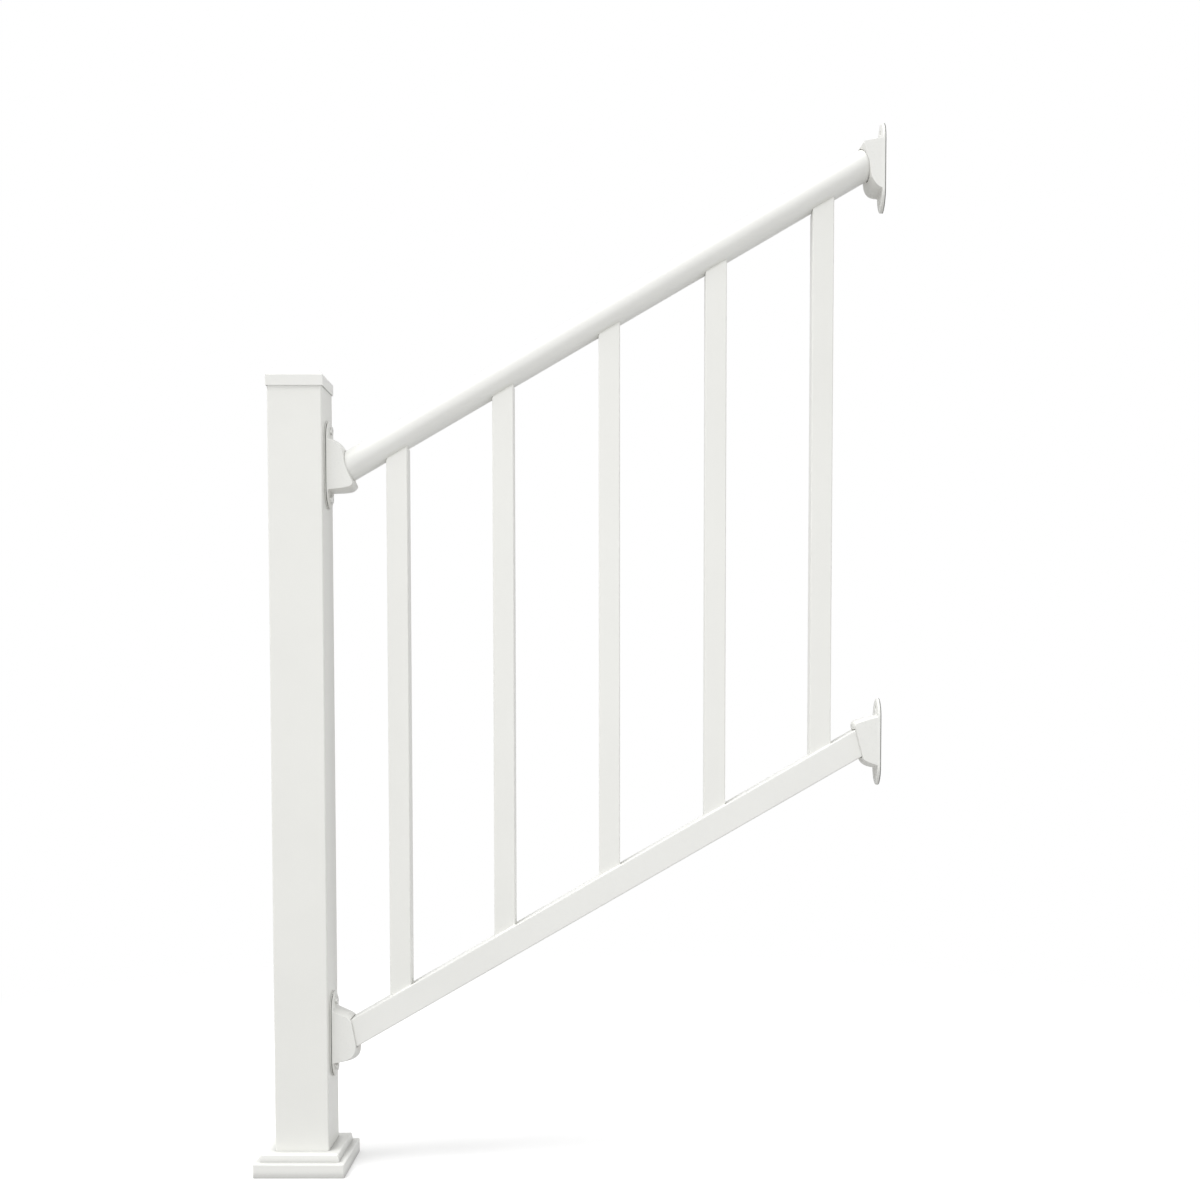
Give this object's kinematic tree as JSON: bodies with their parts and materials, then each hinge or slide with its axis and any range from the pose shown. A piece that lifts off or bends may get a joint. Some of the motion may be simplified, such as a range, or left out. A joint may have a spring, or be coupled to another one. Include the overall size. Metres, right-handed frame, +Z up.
{
  "type": "stair railing section",
  "caption": "Sloped square-post deck railing section with a round handrail, a square bottom rail, upright square balusters and cast end brackets.",
  "frame": {"origin": "centre of the post's foot, on the deck", "axes": "+X along the railing away from the post, +Z up, +Y away from the side that the picture shows"},
  "size_m": [0.7377, 0.107, 1.2315],
  "materials": {
    "white_tube": "white satin powder coat on aluminium tube",
    "white_casting": "white satin powder coat on cast aluminium",
    "white_steelwork": "white satin powder coat on aluminium plate",
    "white_trim": "white moulded trim",
    "screw_metal": "white painted screw heads on stainless steel"
  },
  "bodies": {
    "root": {"post_tube": "white_tube", "base_plate": "white_steelwork", "post_weld": "white_steelwork", "base_skirt": "white_trim", "post_cap": "white_trim", "handrail": "white_tube", "bottom_rail": "white_tube", "baluster_1": "white_tube", "baluster_2": "white_tube", "baluster_3": "white_tube", "baluster_4": "white_tube", "baluster_5": "white_tube", "bracket_post_upper": "white_casting", "bracket_post_lower": "white_casting", "bracket_wall_upper": "white_casting", "bracket_wall_lower": "white_casting", "post_upper_screw_high": "screw_metal", "post_upper_screw_low": "screw_metal", "post_lower_screw_high": "screw_metal", "post_lower_screw_low": "screw_metal", "rail_screw_post_upper": "screw_metal", "rail_screw_post_lower": "screw_metal", "rail_screw_wall_upper": "screw_metal", "rail_screw_wall_lower": "screw_metal"}
  },
  "joints": []
}
